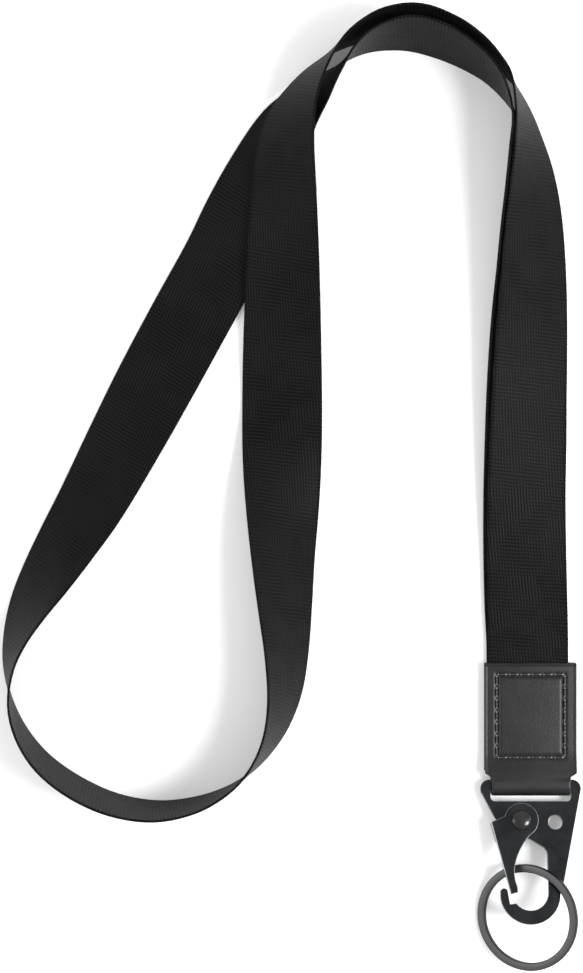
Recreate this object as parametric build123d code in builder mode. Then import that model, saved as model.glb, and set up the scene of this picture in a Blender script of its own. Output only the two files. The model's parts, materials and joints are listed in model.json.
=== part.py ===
"""A neck lanyard with a folded leather tab, a sprung snap clip and a split key ring, laid out on a table.

Millimetres. +Z is up from the table, +Y runs from the clip to the top of the neck loop.
The pieces are drawn about the clip's bar, which is at x = 0, y = 0, and are moved at the end so that
the origin is under the middle of the whole lanyard.
"""

from build123d import *
from math import cos, hypot, radians, sin
import os

# ---------------------------------------------------------------- driving dimensions

strap_width = 25.0
strap_thickness = 0.8
strap_step = 9.0  # longest flat facet along the strap

leather = 1.2  # thickness of the tab's leather
tab_width = 28.6
tab_length = 38.2  # from the bar's middle to the tab's top edge
tab_fold_width = 24.6  # where the tab passes through the clip's slot
tab_neck = 2.9  # from the bar's middle to where the tab starts to widen
tab_shoulder = 4.2  # from the bar's middle to where the full width begins
tab_bulge = 12.0  # from the bar's middle to where the front lies flat on the strap
strap_end = 11.0  # from the bar's middle to the sewn ends of the strap
strap_lead = 1.8  # how far past the tab the strap still lies flat
strap_parting = 7.8  # how far past the tab its two ends start to part
strap_rise = 0.05  # how far they have parted there

stitch_span_x = 21.2
stitch_span_y = 25.8
stitch_margin = 3.4  # from the tab's top edge to the upper row
stitches_across = 6
stitches_down = 7
stitch_length = 2.7
stitch_width = 0.7
stitch_depth = 0.35

sheet = 1.2  # thickness of the clip's steel
rim_depth = 1.5  # how far the turned edge reaches below the sheet
rim_width = 1.0
bar_height = 3.0
bar_clearance = 0.18  # between the bar's corners and the leather round it
slot_height = 3.3
lug_width = 3.0
slot_clearance = 0.25
slot_corner = 1.4
lug_corner = 2.6
crown_rise = 0.4  # how far the lugs' top ends stand above the bar
lug_foot = 1.6  # from the bar's middle to where the left edge turns in
neck_top = 1.0  # from the bar's middle to where the right edge starts to narrow
clip_pitch = 13.3  # the ring props the clip up by this angle

hook_outer_radius = 9.2
hook_inner_radius = 5.4
hook_middle = -0.8
hook_reach = 42.5  # from the bar's middle to the bottom of the hook
hook_bore_shift = (0.2, 0.4)  # from the middle of the hook's outside to the middle of its inside
arm_inner = 4.8  # inner edge of the hook's long arm
arm_neck = 29.0  # from the bar's middle to where the arm is narrowest
arm_neck_width = 4.9
mouth_top = 16.2  # from the bar's middle to the top of the hook's mouth
mouth_left = -1.0  # where the mouth's top edge turns down towards the long arm
mouth_slope = 3.4  # how far that edge has dropped where it meets the arm
mouth_round = 3.0
tip_height = 11.0  # from the bottom of the hook to the top of its tip
tip_width = 2.2
tip_round = 1.0  # height of the tip's rounded end
tip_foot_inner = (-6.4, -3.1)  # foot of the tip's inner edge, from the hook's middle
hook_bump = (-4.4, -2.9)  # the corner the ring drops behind, from the hook's middle
side_hole_radius = 2.3
side_hole = (7.4, -11.2)

pivot = (-3.2, -10.7)
boss_radius = 4.4
boss_height = 0.55
plate_corner = (-7.5, -0.4)  # the plate's left corner, from the pivot
plate_cheek = (-4.0, -4.7)  # a point on the plate's lower left edge, from the pivot
hollow_left = 4.2  # from the clip's left side to the hollow under the plate
hollow_inset = 0.8  # from the right rim to that hollow, below the slot
hollow_taper = 3.4  # from the right rim to that hollow, above the mouth
hollow_open = 2.4  # how far below the pivot the hollow is open, for the gate's foot
gate_sheet = 0.6
gate_gap = 0.1
gate_lobe_radius = 5.3
gate_foot_radius = 4.6
gate_wall_depth = 0.4  # below the middle of the clip's sheet, where the ring passes beneath
gate_top = (-12.6, -11.3)
gate_tip = (-6.9, -33.4)
gate_tip_width = 2.3
gate_waist = 2.9  # width of the gate where it is slimmest
gate_slim = 6.2  # from the gate's end to where it is slimmest
gate_bulb = (1.8, 2.6)  # length and width of the gate's rounded end
gate_back = (-1.2, -10.6)  # a point on the gate's inner edge, from the pivot
gate_heel = (2.6, -4.6)  # where that edge runs into the lobe, from the pivot
gate_ear = (-4.7, 1.4)  # where the upper edge runs into the lobe, from the pivot
gate_knee = 6.0  # length of the gate's deep wall
gate_foot_edge = 4.0  # half the width of the foot where it leaves the round under the pivot

rivet_radius = 1.5
rivet_head_radius = 3.05
rivet_head_height = 1.3
rivet_tail_radius = 2.4
rivet_tail_height = 0.6
running_clearance = 0.05

spring_wire = 0.36
spring_pitch = 0.4
spring_radius = 2.6
spring_turns = 2.4
spring_leg = 3.0

ring_outer_radius = 16.4
ring_width = 2.4
ring_coil = 0.8  # thickness of one coil of the split ring
ring_groove = 0.12
ring_tilt = 27.0
ring_place = (-1.5, -40.0)

front_lift = leather + strap_thickness
back_lift = leather
flat_end = tab_length + strap_lead
part_start = tab_length + strap_parting

# The strap's route, from its sewn end on the front of the tab to its sewn end on the back.
# Each point is the middle of the strap (x, y), the height of its lower edge above the table, and its
# bank: how far it is turned about its own direction, right-hand edge down, in degrees.
strap_route = [
    (-0.6, strap_end, front_lift, 0),
    (-0.6, 25, front_lift, 0),
    (-0.7, flat_end, front_lift, 0),
    (-0.7, part_start, front_lift + strap_rise, 0),
    (-0.9, 58, 1.6, 2),
    (-1.2, 74, 1.35, 4),
    (-1.3, 90, 1.35, 8),
    (-0.9, 106, 1.35, 12),
    (-0.6, 121, 1.35, 16),
    (-0.2, 134, 1.35, 20),
    (0.2, 147, 1.35, 25),
    (0.5, 161, 1.25, 32),
    (0.5, 176, 1.1, 41),
    (-0.1, 189, 0.8, 52),
    (-1.4, 200, 0.4, 64),
    (-3.4, 210, 0.2, 74),
    (-6.6, 218.5, 0, 83),
    (-11.2, 223.6, 0, 90),
    (-17.2, 228.6, 0, 96),
    (-25.2, 233.1, 0, 101),
    (-35.5, 236.3, 0, 104),
    (-45.5, 235.8, 0, 101),
    (-54.2, 232.5, 0, 94),
    (-61.0, 228.0, 0.2, 85),
    (-66.0, 222.8, 1.2, 76),
    (-70.8, 215.6, 2.6, 66),
    (-74.4, 207.6, 4.6, 55),
    (-76.2, 197.2, 6.2, 46),
    (-76.7, 182.0, 6.6, 37),
    (-77.0, 166.0, 5.4, 28),
    (-77.2, 150.0, 3.4, 20),
    (-77.3, 134.0, 1.7, 12),
    (-77.3, 118.0, 0.7, 2),
    (-77.3, 103.0, 0.4, -10),
    (-77.2, 88.0, 0.2, -24),
    (-77.0, 72.0, 0, -38),
    (-76.4, 57.0, 0, -48),
    (-75.9, 43.0, 0, -57),
    (-76.3, 31.5, 0, -64),
    (-78.1, 22.0, 0, -71),
    (-81.4, 13.6, 0, -78),
    (-86.6, 6.0, 0, -84),
    (-93.6, 0.0, 0, -89),
    (-103.6, -4.6, 0, -94),
    (-116.0, -6.6, 0, -97),
    (-129.0, -4.6, 0, -98),
    (-141.0, 0.8, 0, -98),
    (-150.8, 8.2, 0, -96),
    (-157.4, 17.2, 0, -92),
    (-160.9, 27.0, 0, -86),
    (-161.4, 37.4, 0, -77),
    (-159.4, 46.4, 0, -68),
    (-155.4, 56.0, 0, -57),
    (-150.0, 65.6, 0, -47),
    (-143.4, 76.6, 0, -38),
    (-136.0, 89.0, 0, -29),
    (-126.2, 107.6, 0, -18),
    (-116.4, 126.4, 0, -7),
    (-106.3, 145.2, 0, -1),
    (-96.2, 163.6, 0, -6),
    (-90.0, 177.0, 0, -14),
    (-84.0, 189.3, 0, -25),
    (-77.4, 201.6, 0, -37),
    (-72.6, 208.4, 0, -49),
    (-67.2, 214.2, 0, -62),
    (-61.0, 221.0, 0, -78),
    (-55.0, 227.2, 0, -89),
    (-47.6, 231.2, 0, -98),
    (-37.5, 232.6, 0, -105),
    (-27.0, 229.6, 0, -104),
    (-18.6, 224.8, 0, -99),
    (-12.6, 219.8, 0, -94),
    (-8.2, 213.4, 0, -87),
    (-5.4, 206.8, 0, -79),
    (-3.6, 199.0, 0, -67),
    (-2.0, 188.0, 0, -54),
    (-1.1, 175.4, 0, -42),
    (-1.0, 161.0, 0, -33),
    (-1.4, 147.0, 0, -25),
    (-1.8, 134.0, 0, -20),
    (-2.1, 121.0, 0, -16),
    (-2.3, 106.0, 0, -12),
    (-2.4, 90.0, 0, -8),
    (-2.2, 74.0, 0.1, -4),
    (-1.8, 58.0, 0.4, -2),
    (-1.2, part_start, back_lift - strap_rise, 0),
    (-1.1, flat_end, back_lift, 0),
    (-1.0, 25, back_lift, 0),
    (-1.0, strap_end, back_lift, 0),
]

# The strap is one piece. Its solid is made in stretches that meet face to face: name, last point.
strap_stretches = [
    ("strap_front_run", 15),
    ("strap_outer_arch", 24),
    ("strap_middle_run", 40),
    ("strap_lower_bend", 49),
    ("strap_left_run", 64),
    ("strap_inner_arch", 73),
    ("strap_back_run", 88),
]

# ---------------------------------------------------------------- sizes that follow

loop_radius = hypot(bar_height / 2, sheet / 2) + bar_clearance
bar_axis_height = loop_radius + leather
front_height = leather + 2 * strap_thickness + leather / 2
slot_width = tab_fold_width + 2 * slot_clearance
clip_width = slot_width + 2 * lug_width
slot_bottom = -bar_height / 2 - slot_height
sheet_top = sheet / 2
rim_bottom = -sheet / 2 - rim_depth
gate_under = sheet_top + boss_height + gate_gap
gate_over = gate_under + gate_sheet
foot_over = rim_bottom - gate_gap
foot_under = foot_over - gate_sheet
hook_centre = hook_outer_radius - hook_reach
ring_thickness = 2 * ring_coil
ring_height = ring_outer_radius * sin(radians(ring_tilt)) + ring_thickness / 2 * cos(radians(ring_tilt))
stitch_middle = tab_length - stitch_margin - stitch_span_y / 2

clip_plane = Plane(
    origin=(0, 0, bar_axis_height),
    x_dir=(1, 0, 0),
    z_dir=(0, sin(radians(clip_pitch)), cos(radians(clip_pitch))),
)
ring_plane = Plane(
    origin=(*ring_place, ring_height),
    x_dir=(cos(radians(ring_tilt)), 0, sin(radians(ring_tilt))),
    z_dir=(-sin(radians(ring_tilt)), 0, cos(radians(ring_tilt))),
)


# ---------------------------------------------------------------- strap


def strap_middle(point):
    """The middle of the strap at one point of the route, with its height."""
    x, y, lift, bank = point
    turned = radians(bank)
    height = lift + abs(sin(turned)) * strap_width / 2 + abs(cos(turned)) * strap_thickness / 2
    return Vector(x, y, height)


def smooth(before, start, end, after, share):
    """A curve through start and end that leaves and arrives parallel to their neighbours' chords."""
    leaving = (end - before) / 2
    arriving = (after - start) / 2
    back = 1 - share
    return (
        start * (1 + 2 * share) * back**2
        + end * (1 + 2 * back) * share**2
        + leaving * share * back**2
        - arriving * back * share**2
    )


def strap_stations():
    """Section planes along the whole route, and the number of the plane at each of its points."""
    middles = [strap_middle(point) for point in strap_route]
    banks = [point[3] for point in strap_route]
    last = len(strap_route) - 1
    places, turns, at_point = [], [], []
    for i in range(last):
        near = (max(i - 1, 0), i, i + 1, min(i + 2, last))
        at_point.append(len(places))
        steps = max(1, round((middles[i + 1] - middles[i]).length / strap_step))
        for k in range(steps):
            places.append(smooth(*(middles[n] for n in near), k / steps))
            turns.append(smooth(*(banks[n] for n in near), k / steps))
    at_point.append(len(places))
    places.append(middles[last])
    turns.append(banks[last])
    planes = []
    for i, (place, bank) in enumerate(zip(places, turns)):
        along = (places[min(i + 1, len(places) - 1)] - places[max(i - 1, 0)]).normalized()
        right = along.cross(Vector(0, 0, 1)).normalized()
        across = right * cos(radians(bank)) - right.cross(along) * sin(radians(bank))
        planes.append(Plane(origin=place, x_dir=across, z_dir=along))
    return planes, at_point


def strap_pieces():
    """The stretches of the strap, each lofted through its own sections."""
    planes, at_point = strap_stations()
    pieces, first = [], 0
    for name, last in strap_stretches:
        with BuildPart() as stretch:
            for plane in planes[at_point[first] : at_point[last] + 1]:
                with BuildSketch(plane):
                    Rectangle(strap_width, strap_thickness)
            loft(ruled=True)
        stretch.part.label = name
        pieces.append(stretch.part)
        first = last
    length = sum((b.origin - a.origin).length for a, b in zip(planes, planes[1:]))
    print(f"strap length {length:.0f} mm")
    return pieces


# ---------------------------------------------------------------- leather tab and its stitches


def stitch_places():
    """The middle and direction of every stitch, round the rectangle: x, y, degrees."""
    half_x, half_y = stitch_span_x / 2, stitch_span_y / 2
    across = stitch_span_x / stitches_across
    down = stitch_span_y / stitches_down
    places = []
    for side in (-1, 1):
        for i in range(stitches_across):
            places.append((-half_x + (i + 0.5) * across, stitch_middle + side * half_y, 0))
        for i in range(stitches_down):
            places.append((side * half_x, stitch_middle - half_y + (i + 0.5) * down, 90))
    return places


def stitch_row(name, height):
    """One face's stitches, sunk in the leather, from height up."""
    with BuildPart() as row:
        with BuildSketch(Plane.XY.offset(height)):
            for x, y, turn in stitch_places():
                with Locations(Location((x, y, 0), (0, 0, turn))):
                    SlotOverall(stitch_length, stitch_width)
        extrude(amount=stitch_depth)
    row.part.label = name
    return row.part


def leather_tab():
    """One strip of leather: flat back, round the bar, and forward over the strap's ends."""
    fold = loop_radius + leather / 2
    with BuildPart() as tab:
        with BuildSketch(Plane.YZ.offset(-tab_width / 2)):
            with BuildLine():
                Line((tab_length, leather / 2), (0, leather / 2))
                ThreePointArc((0, leather / 2), (-fold, bar_axis_height), (0, bar_axis_height + fold))
                Spline(
                    (0, bar_axis_height + fold),
                    (tab_bulge, front_height),
                    tangents=((1, 0), (1, 0)),
                )
                Line((tab_bulge, front_height), (tab_length, front_height))
            trace(line_width=leather)
        extrude(amount=tab_width)
        with BuildSketch() as shoulders:
            for side in (-1, 1):
                with BuildLine():
                    Polyline(
                        (side * tab_fold_width / 2, -2 * fold),
                        (side * tab_fold_width / 2, tab_neck),
                        (side * tab_width / 2, tab_shoulder),
                        (side * tab_width, tab_shoulder),
                        (side * tab_width, -2 * fold),
                        close=True,
                    )
                make_face()
        extrude(amount=4 * bar_axis_height, mode=Mode.SUBTRACT)
        for height in (0, front_height + leather / 2 - stitch_depth):
            with BuildSketch(Plane.XY.offset(height)):
                for x, y, turn in stitch_places():
                    with Locations(Location((x, y, 0), (0, 0, turn))):
                        SlotOverall(stitch_length, stitch_width)
            extrude(amount=stitch_depth, mode=Mode.SUBTRACT)
    tab.part.label = "leather_tab"
    return tab.part


# ---------------------------------------------------------------- snap clip


def from_pivot(offset):
    """A point on the clip, given from the gate's pivot."""
    return (pivot[0] + offset[0], pivot[1] + offset[1])


def from_hook(offset):
    """A point on the clip, given from the middle of the hook's outside."""
    return (hook_middle + offset[0], hook_centre + offset[1])


def plate_outline():
    """Outline of the plate and its long arm, from the lugs down to the widest part of the hook."""
    half = clip_width / 2
    crown = bar_height / 2 + crown_rise
    corner = from_pivot(plate_corner)
    bore_right = (arm_inner, from_hook(hook_bore_shift)[1])
    with BuildSketch(mode=Mode.PRIVATE) as outline:
        with BuildLine():
            Polyline((half, -neck_top), (half, crown), (-half, crown), (-half, -lug_foot), corner)
            ThreePointArc(corner, from_pivot(plate_cheek), (pivot[0], -mouth_top))
            Polyline(
                (pivot[0], -mouth_top),
                (mouth_left, -mouth_top),
                (arm_inner, -mouth_top - mouth_slope),
                bore_right,
                from_hook((hook_outer_radius, 0)),
                (arm_inner + arm_neck_width, -arm_neck),
                (half, -neck_top),
            )
        make_face()
        fillet(outline.vertices().group_by(Axis.Y)[-1], lug_corner)
        mouth_corner = outline.vertices().sort_by_distance((arm_inner, -mouth_top - mouth_slope))[0]
        fillet(mouth_corner, mouth_round)
    return outline.sketch


def hook_outline():
    """Outline of the hook below the arm, with its round end and the tip that the gate closes on."""
    bore = from_hook(hook_bore_shift)
    bore_right = (arm_inner, bore[1])
    tip_foot = from_hook((-hook_outer_radius, 0))
    tip_crown = -hook_reach + tip_height
    tip_left = (tip_foot[0], tip_crown - tip_round)
    tip_right = (tip_foot[0] + tip_width, tip_crown - tip_round)
    with BuildSketch(mode=Mode.PRIVATE) as outline:
        with BuildLine():
            Line(tip_foot, tip_left)
            ThreePointArc(tip_left, (tip_foot[0] + tip_width / 2, tip_crown), tip_right)
            Polyline(tip_right, from_hook(tip_foot_inner), from_hook(hook_bump))
            ThreePointArc(from_hook(hook_bump), (bore[0], bore[1] - hook_inner_radius), bore_right)
            Line(bore_right, from_hook((hook_outer_radius, 0)))
            ThreePointArc(from_hook((hook_outer_radius, 0)), from_hook((0, -hook_outer_radius)), tip_foot)
        make_face()
    return outline.sketch


def slot_outline():
    """Outline of the slot the leather goes through, with its lower corners rounded."""
    with BuildSketch(mode=Mode.PRIVATE) as outline:
        with Locations((0, slot_bottom + slot_height / 2)):
            Rectangle(slot_width, slot_height)
        fillet(outline.vertices().group_by(Axis.Y)[0], slot_corner)
    return outline.sketch


def clip_frame():
    """The stamped steel frame: bar, slot, plate with its turned rim, long arm and hook."""
    half = clip_width / 2
    with BuildPart() as frame:
        with BuildSketch(clip_plane.offset(rim_bottom)):
            add(plate_outline())
            add(hook_outline())
        extrude(amount=sheet + rim_depth)
        with BuildSketch(clip_plane.offset(rim_bottom)):
            with Locations((0, (slot_bottom + bar_height) / 2)):
                Rectangle(slot_width, bar_height - slot_bottom)
        extrude(amount=rim_depth, mode=Mode.SUBTRACT)
        with BuildSketch(clip_plane.offset(rim_bottom)):
            add(slot_outline())
            with Locations((0, (bar_height + crown_rise) / 2)):
                Rectangle(slot_width, crown_rise)
            with Locations(side_hole):
                Circle(side_hole_radius)
            with Locations(pivot):
                Circle(rivet_radius)
        extrude(amount=sheet + rim_depth, mode=Mode.SUBTRACT)
        with BuildSketch(clip_plane.offset(rim_bottom)):
            with BuildLine():
                Polyline(
                    (-half + hollow_left, slot_bottom - rim_width),
                    (half - rim_width - hollow_inset, slot_bottom - rim_width),
                    (half - rim_width - hollow_taper, -mouth_top + rim_width),
                    (mouth_left, -mouth_top + rim_width),
                    (pivot[0], -mouth_top - rim_width),
                    from_pivot((plate_corner[0] - rim_width, -hollow_open)),
                    close=True,
                )
            make_face()
            with Locations(side_hole):
                Circle(side_hole_radius + rim_width, mode=Mode.SUBTRACT)
        extrude(amount=rim_depth, mode=Mode.SUBTRACT)
        with BuildSketch(clip_plane.offset(sheet_top)):
            with Locations(pivot):
                Circle(boss_radius)
                Circle(rivet_radius, mode=Mode.SUBTRACT)
        extrude(amount=boss_height)
    frame.part.label = "clip_frame"
    return frame.part


def gate():
    """The sprung gate: a plate over the frame, a wall down its outer edge, and a foot under the frame."""
    top = Vector(*gate_top)
    tip = Vector(*gate_tip)
    heading = (tip - top).normalized()
    inward = Vector(-heading.Y, heading.X)
    knee = top + heading * gate_knee
    bulb = tip + inward * gate_bulb[1] - heading * gate_bulb[0]
    with BuildPart() as lever:
        with BuildSketch(clip_plane.offset(gate_under)):
            with Locations(pivot):
                Circle(gate_lobe_radius)
            with BuildLine():
                Polyline(from_pivot(gate_ear), top, tip, tip + inward * gate_tip_width, bulb)
                Spline(
                    bulb,
                    tip + inward * gate_waist - heading * gate_slim,
                    from_pivot(gate_back),
                    from_pivot(gate_heel),
                )
                Line(from_pivot(gate_heel), from_pivot(gate_ear))
            make_face()
        extrude(amount=gate_sheet)
        for far, bottom in ((tip, -gate_wall_depth), (knee, foot_under)):
            with BuildSketch(clip_plane.offset(bottom)):
                with BuildLine():
                    Polyline(top, far, far + inward * gate_sheet, top + inward * gate_sheet, close=True)
                make_face()
            extrude(amount=gate_over - bottom)
        with BuildSketch(clip_plane.offset(foot_under)):
            with Locations(pivot):
                Circle(gate_foot_radius)
            with BuildLine():
                Polyline(
                    from_pivot((0, gate_foot_edge)), top, knee, from_pivot((0, -gate_foot_edge)), close=True
                )
            make_face()
        extrude(amount=gate_sheet)
        with BuildSketch(clip_plane.offset(foot_under)):
            with Locations(pivot):
                Circle(rivet_radius + running_clearance)
        extrude(amount=gate_over - foot_under, mode=Mode.SUBTRACT)
    lever.part.label = "gate"
    return lever.part


def rivet():
    """The gate's pivot: a domed head above, a plain shank, and a flat spread tail below."""
    head_base = gate_over + running_clearance
    tail_top = foot_under - running_clearance
    dome_radius = (rivet_head_radius**2 + rivet_head_height**2) / (2 * rivet_head_height)
    profile_plane = Plane(
        origin=clip_plane.from_local_coords((*pivot, 0)), x_dir=clip_plane.x_dir, z_dir=-clip_plane.y_dir
    )
    with BuildPart() as pin:
        with BuildSketch(profile_plane):
            with BuildLine():
                Polyline(
                    (0, tail_top - rivet_tail_height),
                    (rivet_tail_radius, tail_top - rivet_tail_height),
                    (rivet_tail_radius, tail_top),
                    (rivet_radius, tail_top),
                    (rivet_radius, head_base),
                    (rivet_head_radius, head_base),
                )
                RadiusArc(
                    (rivet_head_radius, head_base), (0, head_base + rivet_head_height), -dome_radius
                )
                Line((0, head_base + rivet_head_height), (0, tail_top - rivet_tail_height))
            make_face()
        revolve(axis=Axis(profile_plane.origin, clip_plane.z_dir))
    pin.part.label = "rivet"
    return pin.part


def gate_spring():
    """The torsion spring coiled round the rivet, with one leg on the frame and one on the gate's wall."""
    height = spring_pitch * spring_turns
    base = (foot_over - sheet / 2 - height) / 2
    coil_plane = Plane(
        origin=clip_plane.from_local_coords((*pivot, base)), x_dir=clip_plane.x_dir, z_dir=clip_plane.z_dir
    )
    coil = coil_plane * Helix(pitch=spring_pitch, height=height, radius=spring_radius)
    with BuildPart() as spring:
        with BuildSketch(Plane(origin=coil @ 0, z_dir=coil % 0)):
            Circle(spring_wire / 2)
        sweep(path=coil)
        for end, away in ((coil @ 0, -(coil % 0)), (coil @ 1, coil % 1)):
            with BuildSketch(Plane(origin=end, z_dir=away)):
                Circle(spring_wire / 2)
            extrude(amount=spring_leg)
    spring.part.label = "gate_spring"
    return spring.part


# ---------------------------------------------------------------- key ring


def key_ring():
    """The flat split ring: two coils of flat wire pressed together, with a groove where they meet."""
    outer = ring_outer_radius
    inner = ring_outer_radius - ring_width
    half = ring_thickness / 2
    profile_plane = Plane(origin=ring_plane.origin, x_dir=ring_plane.x_dir, z_dir=-ring_plane.y_dir)
    with BuildPart() as ring:
        with BuildSketch(profile_plane):
            with BuildLine():
                Polyline(
                    (inner, -half), (outer, -half),
                    (outer, -ring_groove), (outer - ring_groove, 0), (outer, ring_groove),
                    (outer, half), (inner, half),
                    (inner, ring_groove), (inner + ring_groove, 0), (inner, -ring_groove),
                    close=True,
                )
            make_face()
        revolve(axis=Axis(ring_plane.origin, ring_plane.z_dir))
    ring.part.label = "key_ring"
    return ring.part


# ---------------------------------------------------------------- the whole lanyard

pieces = [
    *strap_pieces(),
    leather_tab(),
    stitch_row("front_stitches", front_height + leather / 2 - stitch_depth),
    stitch_row("back_stitches", 0),
    clip_frame(),
    gate(),
    rivet(),
    gate_spring(),
    key_ring(),
]
footprint = Compound(pieces).bounding_box()
to_origin = Vector(-footprint.center().X, -footprint.center().Y, -footprint.min.Z)

os.makedirs("parts", exist_ok=True)
for piece in pieces:
    placed = piece.moved(Location(to_origin))
    placed.label = piece.label
    export_step(placed, f"parts/{placed.label}.step")

for name, place in (
    ("bar", clip_plane.origin),
    ("pivot", clip_plane.from_local_coords((*pivot, 0))),
    ("side hole", clip_plane.from_local_coords((*side_hole, 0))),
    ("ring", ring_plane.origin),
):
    print(name, tuple(place + to_origin))
print("size", footprint.size)
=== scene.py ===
from math import cos, pi, radians, sin

import bmesh
import bpy
from mathutils import Matrix, Vector
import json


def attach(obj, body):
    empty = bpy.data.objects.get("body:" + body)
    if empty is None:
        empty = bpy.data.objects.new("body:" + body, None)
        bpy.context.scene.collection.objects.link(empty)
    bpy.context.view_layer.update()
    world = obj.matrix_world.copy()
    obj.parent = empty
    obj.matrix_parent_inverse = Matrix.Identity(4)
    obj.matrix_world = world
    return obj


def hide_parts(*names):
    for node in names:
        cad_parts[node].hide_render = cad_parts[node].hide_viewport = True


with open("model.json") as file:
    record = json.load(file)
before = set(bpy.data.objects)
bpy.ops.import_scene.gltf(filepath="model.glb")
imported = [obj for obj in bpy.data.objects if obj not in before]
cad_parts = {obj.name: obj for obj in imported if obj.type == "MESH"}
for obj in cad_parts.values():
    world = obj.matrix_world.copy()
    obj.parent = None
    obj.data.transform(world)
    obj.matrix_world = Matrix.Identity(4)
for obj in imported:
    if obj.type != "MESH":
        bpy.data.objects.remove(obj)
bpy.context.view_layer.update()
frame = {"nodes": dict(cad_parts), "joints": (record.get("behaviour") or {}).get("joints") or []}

MM = 0.001
joints = {joint["name"]: joint for joint in frame["joints"]}
BAR = Vector(joints["clip_swing"]["pos_m"])
PIVOT = Vector(joints["gate_pivot"]["pos_m"])
RING = Vector(joints["ring_turn"]["pos_m"])
CLIP_UP = Vector(joints["gate_pivot"]["axis"]).normalized()
RING_UP = Vector(joints["ring_turn"]["axis"]).normalized()

# ---------------------------------------------------------------- camera

CAMERA_HEIGHT = 750 * MM
VIEW_HEIGHT = 304.06 * MM
SENSOR = 36.0
CAMERA_OVER = (0.15 * MM, 1.58 * MM)
NEAREST_SEEN = 0.01

camera = bpy.data.objects.new("camera", bpy.data.cameras.new("camera"))
camera.data.sensor_fit = "VERTICAL"
camera.data.sensor_height = SENSOR
camera.data.lens = SENSOR * CAMERA_HEIGHT / VIEW_HEIGHT
camera.data.clip_start = NEAREST_SEEN
camera.location = (*CAMERA_OVER, CAMERA_HEIGHT)
bpy.context.scene.collection.objects.link(camera)
bpy.context.scene.camera = camera
bpy.context.scene.view_settings.view_transform = "Standard"

# ---------------------------------------------------------------- sizes

# The strap's route: middle x and y from the clip's bar, height of the lower edge, bank in degrees.
STRAP_ROUTE = [
    (-0.6, 11, 2.0, 0), (-0.6, 25, 2.0, 0), (-0.7, 40, 2.0, 0), (-0.7, 46, 2.05, 0), (-0.9, 58, 1.6, 2),
    (-1.2, 74, 1.35, 4), (-1.3, 90, 1.35, 8), (-0.9, 106, 1.35, 12), (-0.6, 121, 1.35, 16),
    (-0.2, 134, 1.35, 20), (0.2, 147, 1.35, 25), (0.5, 161, 1.25, 32), (0.5, 176, 1.1, 41),
    (-0.1, 189, 0.8, 52), (-1.4, 200, 0.4, 64), (-3.4, 210, 0.2, 74), (-6.6, 218.5, 0, 83),
    (-11.2, 223.6, 0, 90), (-17.2, 228.6, 0, 96), (-25.2, 233.1, 0, 101), (-35.5, 236.3, 0, 104),
    (-45.5, 235.8, 0, 101), (-54.2, 232.5, 0, 94), (-61.0, 228.0, 0.2, 85), (-66.0, 222.8, 1.2, 76),
    (-70.8, 215.6, 2.6, 66), (-74.4, 207.6, 4.6, 55), (-76.2, 197.2, 6.2, 46), (-76.7, 182.0, 6.6, 37),
    (-77.0, 166.0, 5.4, 28), (-77.2, 150.0, 3.4, 20), (-77.3, 134.0, 1.7, 12), (-77.3, 118.0, 0.7, 2),
    (-77.3, 103.0, 0.4, -10), (-77.2, 88.0, 0.2, -24), (-77.0, 72.0, 0, -38), (-76.4, 57.0, 0, -48),
    (-75.9, 43.0, 0, -57), (-76.3, 31.5, 0, -64), (-78.1, 22.0, 0, -71), (-81.4, 13.6, 0, -78),
    (-86.6, 6.0, 0, -84), (-93.6, 0.0, 0, -89), (-103.6, -4.6, 0, -94), (-116.0, -6.6, 0, -97),
    (-129.0, -4.6, 0, -98), (-141.0, 0.8, 0, -98), (-150.8, 8.2, 0, -96), (-157.4, 17.2, 0, -92),
    (-160.9, 27.0, 0, -86), (-161.4, 37.4, 0, -77), (-159.4, 46.4, 0, -68), (-155.4, 56.0, 0, -57),
    (-150.0, 65.6, 0, -47), (-143.4, 76.6, 0, -38), (-136.0, 89.0, 0, -29), (-126.2, 107.6, 0, -18),
    (-116.4, 126.4, 0, -7), (-106.3, 145.2, 0, -1), (-96.2, 163.6, 0, -6), (-90.0, 177.0, 0, -14),
    (-84.0, 189.3, 0, -25), (-77.4, 201.6, 0, -37), (-72.6, 208.4, 0, -49), (-67.2, 214.2, 0, -62),
    (-61.0, 221.0, 0, -78), (-55.0, 227.2, 0, -89), (-47.6, 231.2, 0, -98), (-37.5, 232.6, 0, -105),
    (-27.0, 229.6, 0, -104), (-18.6, 224.8, 0, -99), (-12.6, 219.8, 0, -94), (-8.2, 213.4, 0, -87),
    (-5.4, 206.8, 0, -79), (-3.6, 199.0, 0, -67), (-2.0, 188.0, 0, -54), (-1.1, 175.4, 0, -42),
    (-1.0, 161.0, 0, -33), (-1.4, 147.0, 0, -25), (-1.8, 134.0, 0, -20), (-2.1, 121.0, 0, -16),
    (-2.3, 106.0, 0, -12), (-2.4, 90.0, 0, -8), (-2.2, 74.0, 0.1, -4), (-1.8, 58.0, 0.4, -2),
    (-1.2, 46, 1.15, 0), (-1.1, 40, 1.2, 0), (-1.0, 25, 1.2, 0), (-1.0, 11, 1.2, 0),
]
STRAP_WIDTH = 25.0
STRAP_THICKNESS = 0.72
STRAP_STEP = 2.4
STRAP_LIFT = 0.4  # the middle's height above the floor where the ribbon lies flat
STRAP_COLUMNS = 20
BAND_EDGE_TURNS = (67.5, 45, 22.5, 0, -22.5, -45, -67.5)  # degrees round a band's edge

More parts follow.
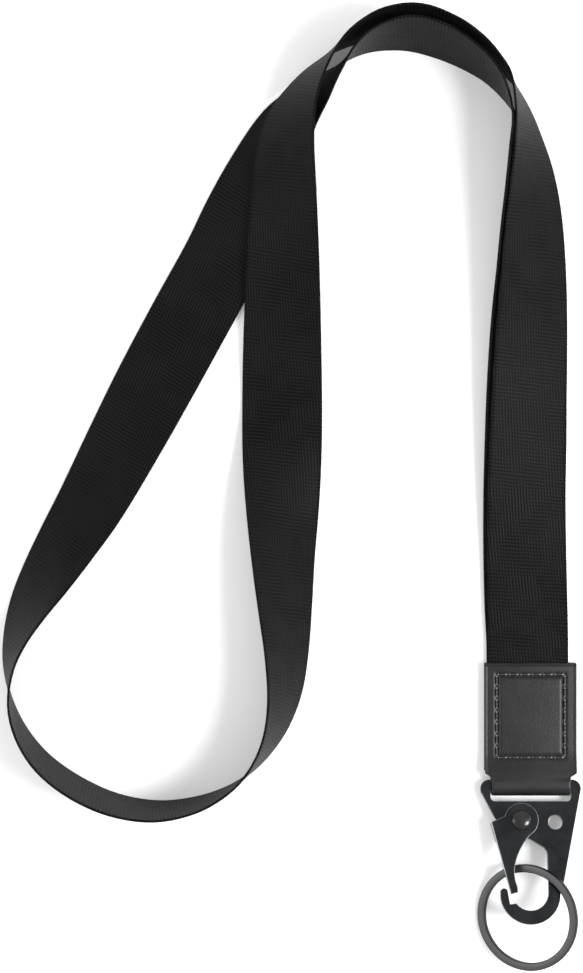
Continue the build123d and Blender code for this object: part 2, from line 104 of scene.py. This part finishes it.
LEATHER = 1.2
TAB_WIDTH = 28.6
TAB_LENGTH = 38.2
TAB_FOLD_WIDTH = 24.6
TAB_SHOULDER = (2.9, 4.2)
TAB_BULGE = 12.0
TAB_FRONT_HEIGHT = 3.4
BAR_HEIGHT = 2.996
FOLD_RADIUS = 2.396
BACK_HEIGHT = 0.6
TAB_COLUMNS = 72
LEAF_STEP = 0.6
BULGE_STEPS = 20
FOLD_STEPS = 24
BACK_STEPS = 32
STITCH_SPAN = (21.2, 25.8)
STITCH_MIDDLE = 21.9
STITCHES_ACROSS = 6
STITCHES_DOWN = 7
STITCH_HALF = 1.5
PANEL_START = 2.0  # nearer the bar than this the leaf is plain
PANEL_RISE = 0.55
PANEL_SHOULDER = 1.5
SEAM_DEPTH = 0.42
SEAM_REACH = 0.9
LEAF_CROWN = 0.45
THREAD_RADIUS = 0.37
THREAD_SIDES = 12
THREAD_STEPS = 10
THREAD_TAPER = 0.75
THREAD_DIP = 0.34
THREAD_PLY, THREAD_TWIST = 0.09, 5.5
FRONT_THREAD_SINK = 0.02
BACK_THREAD_HEIGHT = 0.34

RING_OUTER = 16.4
RING_WIDTH = 2.4
RING_COIL = 0.8
RING_GAP = 0.02
RING_EDGE = 0.16
RING_EDGE_STEPS = 4
RING_SPLIT = 112  # degrees, where the wire's ends are
RING_CROSSING = 3.2  # degrees over which the wire changes layer, each way
RING_STEPS = 320
RIVET_PROFILE = [
    (0.0, -3.45), (2.1, -3.45), (2.38, -3.3), (2.4, -2.9), (1.49, -2.88), (1.49, 1.9),
    (2.9, 1.9), (3.05, 1.98), (3.04, 2.12),
]
RIVET_DOME = (3.04, 2.12, 1.08)  # radius, height of its edge, rise
DOME_STEPS = 12
DOME_TIP = 0.02

FRAME_ROUNDING = 0.27
GATE_ROUNDING = 0.24
ROUNDING_STEPS = 4
EDGE_ANGLE = 40  # degrees, above which an edge is rounded
FLAT_ANGLE = 0.5  # degrees, below which faces count as one flat
FRAME_JOINING = 0.14
FINE_JOINING = 0.002

FLOOR_HALF = 3.0
FLOOR_SQUARES = 8
FLOOR_DROP = 0.02
SURROUND = 0.86
SOFTBOXES = [  # name, place, what it points at, width, height, power
    ("left_softbox", (-0.95, 0.0, 0.62), (0, -0.02, 0), 0.5, 0.9, 5.0),
    ("right_softbox", (0.66, -0.14, 0.86), (0.07, -0.1, 0), 0.30, 0.40, 11.0),
    ("low_right_softbox", (1.05, 0.1, 0.40), (0, 0, 0), 0.4, 1.0, 2.5),
]


# ---------------------------------------------------------------- shader building


class Signal:
    """A socket that Python arithmetic turns into shader nodes."""

    def __init__(self, paint, socket):
        self.paint = paint
        self.socket = socket

    def maths(self, operation, first, second=0.0, third=0.0):
        settings = {"operation": operation}
        if any(isinstance(x, (tuple, Vector)) or is_vector(x) for x in (first, second)):
            return self.paint.node("ShaderNodeVectorMath", settings, {0: first, 1: second})
        return self.paint.node("ShaderNodeMath", settings, {0: first, 1: second, 2: third})

    def __add__(self, other):
        return self.maths("ADD", self, other)

    def __radd__(self, other):
        return self.maths("ADD", other, self)

    def __sub__(self, other):
        return self.maths("SUBTRACT", self, other)

    def __rsub__(self, other):
        return self.maths("SUBTRACT", other, self)

    def __mul__(self, other):
        return self.maths("MULTIPLY", self, other)

    def __rmul__(self, other):
        return self.maths("MULTIPLY", other, self)

    def wave(self):
        """Sine, from 0 to 1."""
        return self.maths("SINE", self) * 0.5 + 0.5

    def clamped(self, low, high):
        """0 below low, 1 above high, smooth between."""
        settings = {"interpolation_type": "SMOOTHSTEP"}
        return self.paint.node(
            "ShaderNodeMapRange", settings, {"Value": self, "From Min": low, "From Max": high}
        )


def is_vector(value):
    """Whether a value is a signal that carries a vector or a colour."""
    return isinstance(value, Signal) and value.socket.type in ("VECTOR", "RGBA")


class Paint:
    """One material: a Principled surface and the nodes that vary it."""

    def __init__(self, name, **constants):
        self.material = bpy.data.materials.new(name)
        self.material.use_nodes = True
        self.tree = self.material.node_tree
        self.tree.nodes.clear()
        self.surface = self.tree.nodes.new("ShaderNodeBsdfPrincipled")
        output = self.tree.nodes.new("ShaderNodeOutputMaterial")
        self.tree.links.new(self.surface.outputs[0], output.inputs[0])
        for name, value in constants.items():
            self.put(self.surface.inputs[name.replace("_", " ")], value)

    def put(self, socket, value):
        if isinstance(value, Signal):
            self.tree.links.new(value.socket, socket)
        elif socket.type == "RGBA" and len(value) == 3:
            socket.default_value = (*value, 1.0)
        else:
            socket.default_value = value

    def node(self, kind, settings, sockets, output=0):
        """Any node: its type, its settings, then its socket values or links."""
        node = self.tree.nodes.new(kind)
        for name, value in settings.items():
            setattr(node, name, value)
        for name, value in sockets.items():
            self.put(node.inputs[name], value)
        return Signal(self, node.outputs[output])

    def place(self, kind="Object"):
        return self.node("ShaderNodeTexCoord", {}, {}, kind)

    def parts(self, vector):
        node = self.tree.nodes.new("ShaderNodeSeparateXYZ")
        self.put(node.inputs[0], vector)
        return [Signal(self, socket) for socket in node.outputs]

    def noise(self, place, scale, detail=2.0, roughness=0.5):
        """Noise from 0 to 1, with scale in features per metre."""
        sockets = {"Vector": place, "Scale": scale, "Detail": detail, "Roughness": roughness}
        return self.node("ShaderNodeTexNoise", {}, sockets)

    def mixed(self, share, first, second):
        """Two colours mixed by share."""
        return self.node("ShaderNodeMix", {"data_type": "RGBA"}, {0: share, 6: first, 7: second}, 2)

    def colour(self, value):
        self.put(self.surface.inputs["Base Color"], value)

    def roughness(self, value):
        self.put(self.surface.inputs["Roughness"], value)

    def bump(self, height, distance, strength=1.0):
        """Surface relief: height from 0 to 1, distance in metres."""
        sockets = {"Height": height, "Distance": distance, "Strength": strength}
        self.put(self.surface.inputs["Normal"], self.node("ShaderNodeBump", {}, sockets))


# ---------------------------------------------------------------- materials

RIBBON_DARK, RIBBON_LIGHT = (0.0014, 0.0014, 0.0015), (0.0105, 0.0105, 0.0110)
LEATHER_DARK, LEATHER_LIGHT = (0.0040, 0.0040, 0.0042), (0.0105, 0.0105, 0.0109)
# The clip's third colour is the painted highlight on its rounded edges.
CLIP_DARK, CLIP_LIGHT, CLIP_EDGE_HIGHLIGHT = (0.006, 0.007, 0.0085), (0.019, 0.021, 0.024), (0.50, 0.52, 0.54)
RIVET_DARK, RIVET_LIGHT = (0.012, 0.012, 0.013), (0.026, 0.026, 0.028)
STEEL_DARK, STEEL_LIGHT = (0.30, 0.30, 0.32), (0.42, 0.42, 0.44)
RING_DARK, RING_LIGHT = (0.060, 0.060, 0.062), (0.095, 0.095, 0.098)


def ribbon_paint():
    """Black satin ribbon: warp threads along it, weft ribs across it, and a soft uneven sheen, partly from
    uneven roughness and partly painted into its colour as lighter cloudy patches.
    """
    paint = Paint("ribbon_satin", Specular_IOR_Level=0.37, IOR=1.15)
    place = paint.place("UV")
    across, along, _ = paint.parts(place)
    warp_pitch, weft_pitch, lean = 0.95 * MM, 1.1 * MM, 0.08
    drift = paint.noise(place, 220.0, 2.0) * 3.2
    warps = ((across + along * lean) * (2 * pi / warp_pitch) + drift).wave()
    wefts = ((along + across * lean) * (2 * pi / weft_pitch) + drift).wave()
    crossed = paint.noise(place, 110.0, 2.0).clamped(0.40, 0.60)
    threads = warps * (1.0 - crossed * 0.75) + wefts * (0.2 + crossed * 0.6)
    fine = paint.noise(place, 2600.0, 1.0)
    edge = STRAP_WIDTH * MM / 2 - paint.node("ShaderNodeMath", {"operation": "ABSOLUTE"}, {0: across})
    selvedge = 1.0 - edge.clamped(0.6 * MM, 1.4 * MM)
    cloudy = paint.noise(place, 42.0, 3.0)
    # The colour's cloudy patches are a painted sheen. The threads and fine noise are the ribbon's own weave
    # and tone.
    weave_and_sheen = (threads * 0.40 + fine * 0.25 + cloudy * 0.35).clamped(0.2, 0.9)
    paint.colour(paint.mixed(weave_and_sheen, RIBBON_DARK, RIBBON_LIGHT))
    paint.roughness(0.46 + selvedge * 0.15 - threads * 0.08 + cloudy * 0.10)
    paint.bump(threads * 0.6 + fine * 0.4 + selvedge * wefts, 0.10 * MM, 0.8)
    return paint.material


def leather_paint():
    """Charcoal leather: fine grain with a faint lengthwise draw, pebbles, creases and a worn sheen."""
    paint = Paint("charcoal_leather", Specular_IOR_Level=0.27, Coat_Weight=0.05, Coat_Roughness=0.3)
    place = paint.place()
    pebbles = paint.node(
        "ShaderNodeTexVoronoi", {"feature": "DISTANCE_TO_EDGE"}, {"Vector": place, "Scale": 1500.0}
    ).clamped(0.0, 0.22)
    fine = paint.noise(place, 3400.0, 3.0)
    drawn = paint.noise(place * (1.0, 0.12, 1.0), 2300.0, 3.0, 0.6)
    creases = paint.noise(place, 420.0, 4.0, 0.6)
    cloudy = paint.noise(place, 95.0, 2.0)
    tone = (cloudy * 0.4 + creases * 0.25 + drawn * 0.35).clamped(0.3, 0.7)
    paint.colour(paint.mixed(tone, LEATHER_DARK, LEATHER_LIGHT))
    paint.roughness(0.34 + cloudy * 0.10 + fine * 0.08 - pebbles * 0.05)
    paint.bump(pebbles * 0.3 + fine * 0.2 + creases * 0.2 + drawn * 0.3, 0.07 * MM, 0.6)
    return paint.material


def thread_paint():
    """Black waxed thread with its twist, and a painted highlight where it bends into its holes."""
    paint = Paint("waxed_thread", Specular_IOR_Level=0.5)
    around, along, _ = paint.parts(paint.place("UV"))
    twist = ((along * 4.0 + around * 2.0) * (2 * pi)).wave()
    fuzz = paint.noise(paint.place(), 9000.0)
    bent = paint.node("ShaderNodeMath", {"operation": "ABSOLUTE"}, {0: along * 2.0 - 1.0})
    # Painted highlight: both ends of every stitch are painted pale, striped by the twist.
    pale = bent.clamped(0.62, 0.82) * (0.35 + twist * 0.65)
    black = paint.mixed(twist, (0.003, 0.003, 0.0035), (0.014, 0.014, 0.015))
    paint.colour(paint.mixed(pale, black, (0.34, 0.34, 0.35)))
    paint.roughness(0.36 + fuzz * 0.2)
    paint.bump(twist * 0.8 + fuzz * 0.2, 0.06 * MM, 0.8)
    return paint.material


def metal_paint(name, dark, light, edge, rough, lustre, shine):
    """Plated metal: smudges, fine scratches, and soft edges painted bright as a highlight."""
    paint = Paint(name, Metallic=lustre, Specular_IOR_Level=0.6, Coat_Weight=0.2, Coat_Roughness=0.12)
    place = paint.place()
    smudges = paint.noise(place, 130.0, 4.0, 0.6)
    specks = paint.noise(place, 5200.0, 2.0)
    scratches = paint.noise(place * (1.0, 14.0, 1.0), 900.0, 3.0, 0.7).clamped(0.55, 0.75)
    sockets = {0: paint.place("Normal"), 1: CLIP_UP}
    facing = paint.node("ShaderNodeVectorMath", {"operation": "DOT_PRODUCT"}, sockets, "Value")
    edges = facing.clamped(0.10, 0.35) * (1.0 - facing.clamped(0.80, 0.97))
    # Painted highlight: faces turned partly away from up, along the rounded edges, are painted towards the
    # bright edge colour, more where smudged.
    painted_edge_highlight = edges * (0.35 + smudges * 0.9) * shine
    plating = paint.mixed(smudges.clamped(0.3, 0.75), dark, light)
    paint.colour(paint.mixed(painted_edge_highlight, plating, edge))
    paint.roughness(rough + smudges * 0.08 + scratches * 0.07)
    paint.bump(specks * 0.5 + scratches * 0.5, 0.01 * MM, 0.35)
    return paint.material


def ring_paint():
    """Dark nickel ring, brushed round its length, near black along both edges."""
    paint = Paint("ring_nickel", Metallic=0.85, Specular_IOR_Level=0.4)
    around, along, _ = paint.parts(paint.place("UV"))
    lines = paint.node("ShaderNodeCombineXYZ", {}, {0: around * 22000.0, 1: along * 60.0})
    brushed = paint.noise(lines, 1.0, 3.0, 0.6)
    smudges = paint.noise(paint.place(), 160.0, 3.0)
    reach = paint.node("ShaderNodeMath", {"operation": "ABSOLUTE"}, {0: around})
    rim = reach.clamped((RING_WIDTH / 2 - 0.32) * MM, (RING_WIDTH / 2 - 0.10) * MM)
    face = paint.mixed(smudges * 0.6 + brushed * 0.4, RING_DARK, RING_LIGHT)
    paint.colour(paint.mixed(rim, face, (0.012, 0.012, 0.013)))
    paint.roughness(0.32 + brushed * 0.14 + smudges * 0.06)
    paint.bump(brushed, 0.015 * MM, 0.4)
    return paint.material


def floor_paint():
    """Plain pale floor."""
    paint = Paint("pale_floor", Specular_IOR_Level=0.1, Emission_Strength=0.12)
    grain = paint.noise(paint.place(), 40.0)
    paint.colour(paint.mixed(grain, (0.86, 0.86, 0.86), (0.88, 0.88, 0.88)))
    paint.put(paint.surface.inputs["Emission Color"], (1.0, 1.0, 1.0))
    paint.roughness(0.8 + grain * 0.1)
    return paint.material


# ---------------------------------------------------------------- mesh building


def blended(start, end, share):
    """From start to end, level at both."""
    share = min(max(share, 0.0), 1.0)
    return start + (end - start) * share * share * (3 - 2 * share)


def smooth(before, start, end, after, share):
    """A curve through start and end that leaves and arrives parallel to their neighbours' chords."""
    leaving = (end - before) / 2
    arriving = (after - start) / 2
    back = 1 - share
    return (
        start * ((1 + 2 * share) * back**2)
        + end * ((1 + 2 * back) * share**2)
        + leaving * (share * back**2)
        - arriving * (back * share**2)
    )


def object_of(name, mesh, body, material, stands_for):
    """A finished piece: smooth shaded, painted, riding on its body."""
    for polygon in mesh.polygons:
        polygon.use_smooth = True
    mesh.materials.append(material)
    piece = bpy.data.objects.new(name, mesh)
    bpy.context.scene.collection.objects.link(piece)
    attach(piece, body)
    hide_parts(*stands_for)
    return piece


def skin(form, uv, rings, across, along):
    """Faces between rings of points, with UVs in metres: across round each ring, along from ring to ring."""
    count = len(rings[0])
    for i in range(len(rings) - 1):
        near, far = rings[i], rings[i + 1]
        for k in range(count):
            face = form.faces.new((near[k], near[(k + 1) % count], far[(k + 1) % count], far[k]))
            corners = ((k, i), (k + 1, i), (k + 1, i + 1), (k, i + 1))
            for loop, (c, r) in zip(face.loops, corners):
                loop[uv].uv = (across[c], along[r])


def finish_form(form, name):
    """A mesh from a form, with its faces turned outwards."""
    bmesh.ops.recalc_face_normals(form, faces=form.faces)
    mesh = bpy.data.meshes.new(name)
    form.to_mesh(mesh)
    form.free()
    return mesh


def band(name, stations, columns, thickness, relief=None):
    """A closed band with rounded edges. A station is its middle, its across and up directions, its width."""
    form = bmesh.new()
    uv = form.loops.layers.uv.new("UVMap")
    half = thickness / 2
    turn = [(cos(a), sin(a)) for a in (radians(x) for x in BAND_EDGE_TURNS)]
    outline = [(-1 + 2 * i / columns, 0.0, 1.0) for i in range(columns + 1)]
    outline += [(1.0, c, s) for c, s in turn]
    outline += [(1 - 2 * i / columns, 0.0, -1.0) for i in range(columns + 1)]
    outline += [(-1.0, -c, -s) for c, s in turn]
    rings, along, across = [], [], []
    run = 0.0
    previous = None
    for middle, side, up, width in stations:
        if previous is not None:
            run += (middle - previous).length
        previous = middle
        along.append(run)
        reach = width / 2 - half
        ring = []
        for place, bulge, height in outline:
            rise = height * half
            if relief and bulge == 0.0 and height > 0:
                rise += relief(place * reach, run)
            ring.append(form.verts.new(middle + side * (place * reach + bulge * half) + up * rise))
        rings.append(ring)
    for place, bulge, height in outline + outline[:1]:
        across.append(place * (STRAP_WIDTH * MM / 2 - half) + bulge * half)
    skin(form, uv, rings, across, along)
    form.faces.new(list(reversed(rings[0])))
    form.faces.new(rings[-1])
    return finish_form(form, name)


def lathe(name, profile, origin, axis, steps=64):
    """A turned form: profile points are radius and height along the axis."""
    form = bmesh.new()
    uv = form.loops.layers.uv.new("UVMap")
    turned = axis.to_track_quat("Z", "X").to_matrix()
    rings = []
    for radius, height in profile:
        ring = []
        for k in range(steps):
            a = 2 * pi * k / steps
            ring.append(form.verts.new(origin + turned @ Vector((radius * cos(a), radius * sin(a), height))))
        rings.append(ring)
    skin(form, uv, rings, [k / steps for k in range(steps + 1)], [i / len(rings) for i in range(len(rings))])
    form.faces.new(rings[0])
    form.faces.new(rings[-1])
    return finish_form(form, name)


# ---------------------------------------------------------------- strap


def strap_stations():
    """Close stations along the strap's route."""
    middles, banks = [], []
    for x, y, lift, bank in STRAP_ROUTE:
        a = radians(bank)
        height = lift + abs(sin(a)) * STRAP_WIDTH / 2 + abs(cos(a)) * STRAP_LIFT
        middles.append(Vector((BAR.x + x * MM, BAR.y + y * MM, height * MM)))
        banks.append(float(bank))
    last = len(middles) - 1
    places, turns = [], []
    for i in range(last):
        near = (max(i - 1, 0), i, i + 1, min(i + 2, last))
        steps = max(1, round((middles[i + 1] - middles[i]).length / (STRAP_STEP * MM)))
        for k in range(steps):
            places.append(smooth(*(middles[n] for n in near), k / steps))
            turns.append(smooth(*(banks[n] for n in near), k / steps))
    places.append(middles[last])
    turns.append(banks[last])
    stations = []
    for i, (place, bank) in enumerate(zip(places, turns)):
        ahead = (places[min(i + 1, len(places) - 1)] - places[max(i - 1, 0)]).normalized()
        right = ahead.cross(Vector((0, 0, 1))).normalized()
        up = right.cross(ahead)
        a = radians(bank)
        across = right * cos(a) - up * sin(a)
        stations.append((place, across, across.cross(ahead).normalized(), STRAP_WIDTH * MM))
    return stations


def make_strap(material):
    """The one length of ribbon, from its sewn end on the tab's front to its sewn end on the back."""
    mesh = band("strap_ribbon", strap_stations(), STRAP_COLUMNS, STRAP_THICKNESS * MM)
    stretches = [node for node in frame["nodes"] if node.startswith("strap_")]
    strap = object_of("strap_ribbon", mesh, "strap_and_tab", material, stretches)


# ---------------------------------------------------------------- leather tab and its sewing


def tab_width_at(y):
    """The tab's width: narrow in the clip's slot, full beyond its shoulders."""
    low, high = TAB_SHOULDER
    return blended(TAB_FOLD_WIDTH, TAB_WIDTH, (y - low) / (high - low))


def tab_stations():
    """Stations from the front leaf's top edge, round the bar, to the back leaf's top edge."""
    line = []
    y = TAB_LENGTH
    while y > TAB_BULGE:
        line.append((y, TAB_FRONT_HEIGHT))
        y -= LEAF_STEP
    for i in range(BULGE_STEPS):
        y = TAB_BULGE * (1 - i / BULGE_STEPS)
        line.append((y, blended(BAR_HEIGHT + FOLD_RADIUS, TAB_FRONT_HEIGHT, y / TAB_BULGE)))
    for i in range(FOLD_STEPS + 1):
        a = pi * i / FOLD_STEPS
        line.append((-FOLD_RADIUS * sin(a), BAR_HEIGHT + FOLD_RADIUS * cos(a)))
    for i in range(1, BACK_STEPS + 1):
        line.append((TAB_LENGTH * i / BACK_STEPS, BACK_HEIGHT))
    points = [Vector((BAR.x, BAR.y + y * MM, z * MM)) for y, z in line]
    stations = []
    for i, point in enumerate(points):
        ahead = (points[min(i + 1, len(points) - 1)] - points[max(i - 1, 0)]).normalized()
        across = Vector((1, 0, 0))
        up = across.cross(ahead).normalized() * -1
        stations.append((point, across, up, tab_width_at(line[i][0]) * MM))
    return [(m, s, -u if i < 1 else u, w) for i, (m, s, u, w) in enumerate(stations)]


def panel_relief(x, run):
    """The sewn panel's relief on the front leaf: a padded middle and a line pressed in by the thread."""
    y = TAB_LENGTH - run / MM
    if y < PANEL_START:
        return 0.0
    half_x, half_y = STITCH_SPAN[0] / 2, STITCH_SPAN[1] / 2
    out = max(abs(x / MM) - half_x, abs(y - STITCH_MIDDLE) - half_y)
    pillow = blended(PANEL_RISE, 0.0, (out + PANEL_SHOULDER) / PANEL_SHOULDER)
    groove = -SEAM_DEPTH * max(0.0, 1 - abs(out) / SEAM_REACH) ** 1.5
    crown = -LEAF_CROWN * (2 * x / MM / TAB_WIDTH) ** 2
    return (pillow + groove + crown) * MM


def stitch_places():
    """The middle and direction of every stitch: x and y from the bar, and whether it runs along y."""
    half_x, half_y = STITCH_SPAN[0] / 2, STITCH_SPAN[1] / 2
    across, down = STITCH_SPAN[0] / STITCHES_ACROSS, STITCH_SPAN[1] / STITCHES_DOWN
    places = []
    for side in (-1, 1):
        for i in range(STITCHES_ACROSS):
            places.append((-half_x + (i + 0.5) * across, STITCH_MIDDLE + side * half_y, False))
        for i in range(STITCHES_DOWN):
            places.append((side * half_x, STITCH_MIDDLE - half_y + (i + 0.5) * down, True))
    return places


def make_stitches(name, node, height, up, material):
    """One face's stitches, each a twisted thread that dips into the leather at both ends."""
    form = bmesh.new()
    uv = form.loops.layers.uv.new("UVMap")
    for x, y, upright in stitch_places():
        heading = Vector((0, 1, 0)) if upright else Vector((1, 0, 0))
        flank = Vector((1, 0, 0)) if upright else Vector((0, 1, 0))
        middle = Vector((BAR.x + x * MM, BAR.y + y * MM, height * MM))
        rings = []
        for i in range(THREAD_STEPS + 1):
            share = -1 + 2 * i / THREAD_STEPS
            thick = THREAD_RADIUS * (1 - abs(share) ** 6 * THREAD_TAPER)
            rise = -THREAD_DIP * abs(share) ** 3
            ring = []
            for k in range(THREAD_SIDES):
                a = 2 * pi * k / THREAD_SIDES
                ply = thick * (1 + THREAD_PLY * cos(2 * a + THREAD_TWIST * share))
                offset = flank * (ply * cos(a)) + Vector((0, 0, up)) * (ply * sin(a) + rise)
                ring.append(form.verts.new(middle + (heading * (share * STITCH_HALF) + offset) * MM))
            rings.append(ring)
        around = [k / THREAD_SIDES for k in range(THREAD_SIDES + 1)]
        skin(form, uv, rings, around, [i / THREAD_STEPS for i in range(THREAD_STEPS + 1)])
        form.faces.new(rings[0])
        form.faces.new(rings[-1])
    object_of(name, finish_form(form, name), "strap_and_tab", material, [node])


def make_tab(leather, thread):
    """The folded leather tab with both rows of stitching."""
    mesh = band("leather_fold", tab_stations(), TAB_COLUMNS, LEATHER * MM, panel_relief)
    object_of("leather_fold", mesh, "strap_and_tab", leather, ["leather_tab"])
    top = TAB_FRONT_HEIGHT + LEATHER / 2
    make_stitches("front_thread", "front_stitches", top - FRONT_THREAD_SINK, 1, thread)
    make_stitches("back_thread", "back_stitches", BACK_THREAD_HEIGHT, -1, thread)


# ---------------------------------------------------------------- clip and ring


def carry_over(node, material, rounding=0.0, joining=FINE_JOINING, held_apart=False):
    """A CAD node with its own material. Points closer than joining merge, then edges are rounded."""
    piece = frame["nodes"][node]
    if not piece.material_slots:
        piece.data.materials.append(material)
    for slot in piece.material_slots:
        slot.link = "OBJECT"
        slot.material = material
    if rounding:
        joined = piece.modifiers.new("joined_faces", "WELD")
        joined.merge_threshold = joining * MM
        flats = piece.modifiers.new("whole_flats", "DECIMATE")
        flats.decimate_type = "DISSOLVE"
        flats.angle_limit = radians(FLAT_ANGLE)
        rounded = piece.modifiers.new("rounded_edges", "BEVEL")
        rounded.width = rounding * MM
        rounded.segments = ROUNDING_STEPS
        rounded.limit_method = "ANGLE"
        rounded.angle_limit = radians(EDGE_ANGLE)
        rounded.use_clamp_overlap = held_apart
        rounded.harden_normals = True


def make_rivet(material):
    """The domed rivet."""
    radius, base, rise = RIVET_DOME
    profile = [(r * MM, h * MM) for r, h in RIVET_PROFILE]
    for i in range(1, DOME_STEPS + 1):
        a = pi / 2 * i / DOME_STEPS
        profile.append((max(radius * cos(a), DOME_TIP) * MM, (base + rise * sin(a)) * MM))
    mesh = lathe("domed_rivet", profile, PIVOT, CLIP_UP)
    object_of("domed_rivet", mesh, "clip", material, ["rivet"])


def make_ring(material):
    """The split ring: two coils of flat wire, crossing from one layer to the other between its ends."""
    form = bmesh.new()
    uv = form.loops.layers.uv.new("UVMap")
    turned = Matrix((Vector((0, 1, 0)).cross(RING_UP), Vector((0, 1, 0)), RING_UP)).transposed()
    split = radians(RING_SPLIT)
    crossing = radians(RING_CROSSING)
    half_w, half_t = RING_WIDTH / 2, RING_COIL / 2 - RING_GAP
    soft = RING_EDGE
    corners = []
    for sx, sz in ((1, 1), (1, -1), (-1, -1), (-1, 1)):
        for k in range(RING_EDGE_STEPS):
            corner = pi / 2 / (RING_EDGE_STEPS - 1) * k
            px, pz = (sin(corner), cos(corner)) if sx * sz > 0 else (cos(corner), sin(corner))
            corners.append((sx * (half_w - soft + soft * px), sz * (half_t - soft + soft * pz)))
    rings, along = [], []
    middle = RING_OUTER - half_w
    start, end = crossing, 4 * pi - crossing
    for i in range(RING_STEPS + 1):
        a = start + (end - start) * i / RING_STEPS
        layer = blended(-1, 1, (a - 2 * pi + crossing) / (2 * crossing)) * RING_COIL / 2
        ring = []
        for x, z in corners:
            spot = Vector(((middle + x) * cos(split + a), (middle + x) * sin(split + a), layer + z))
            ring.append(form.verts.new(RING + turned @ (spot * MM)))
        rings.append(ring)
        along.append(middle * a * MM)
    across = [x * MM for x, _ in corners] + [corners[0][0] * MM]
    skin(form, uv, rings, across, along)
    form.faces.new(rings[0])
    form.faces.new(rings[-1])
    mesh = finish_form(form, "split_ring")
    object_of("split_ring", mesh, "ring", material, ["key_ring"])


# ---------------------------------------------------------------- floor and light


def area_light(name, place, target, width, height, power):
    """A soft rectangular light aimed at a point."""
    lamp = bpy.data.lights.new(name, "AREA")
    lamp.shape = "RECTANGLE"
    lamp.size = width
    lamp.size_y = height
    lamp.energy = power
    light = bpy.data.objects.new(name, lamp)
    light.location = place
    light.rotation_euler = (Vector(target) - Vector(place)).to_track_quat("-Z", "Y").to_euler()
    bpy.context.scene.collection.objects.link(light)


def make_studio():
    """The pale floor, an even surround and soft lights."""
    form = bmesh.new()
    bmesh.ops.create_grid(form, x_segments=FLOOR_SQUARES, y_segments=FLOOR_SQUARES, size=FLOOR_HALF)
    mesh = finish_form(form, "floor")
    mesh.materials.append(floor_paint())
    floor = bpy.data.objects.new("floor", mesh)
    floor.location = (0, 0, -FLOOR_DROP * MM)
    bpy.context.scene.collection.objects.link(floor)
    world = bpy.data.worlds.new("surround")
    bpy.context.scene.world = world
    world.use_nodes = True
    background = world.node_tree.nodes["Background"].inputs
    background["Color"].default_value = (1.0, 1.0, 1.0, 1.0)
    background["Strength"].default_value = SURROUND
    for softbox in SOFTBOXES:
        area_light(*softbox)


make_studio()
make_strap(ribbon_paint())
make_tab(leather_paint(), thread_paint())
clip_metal = metal_paint("clip_black_nickel", CLIP_DARK, CLIP_LIGHT, CLIP_EDGE_HIGHLIGHT, 0.20, 0.8, 1.0)
rivet_metal = metal_paint("rivet_black_nickel", RIVET_DARK, RIVET_LIGHT, RIVET_LIGHT, 0.17, 0.6, 0.0)
spring_metal = metal_paint("spring_steel", STEEL_DARK, STEEL_LIGHT, STEEL_LIGHT, 0.25, 1.0, 0.0)
carry_over("clip_frame", clip_metal, FRAME_ROUNDING, FRAME_JOINING, held_apart=True)
carry_over("gate", clip_metal, GATE_ROUNDING)
carry_over("gate_spring", spring_metal)
make_rivet(rivet_metal)
make_ring(ring_paint())
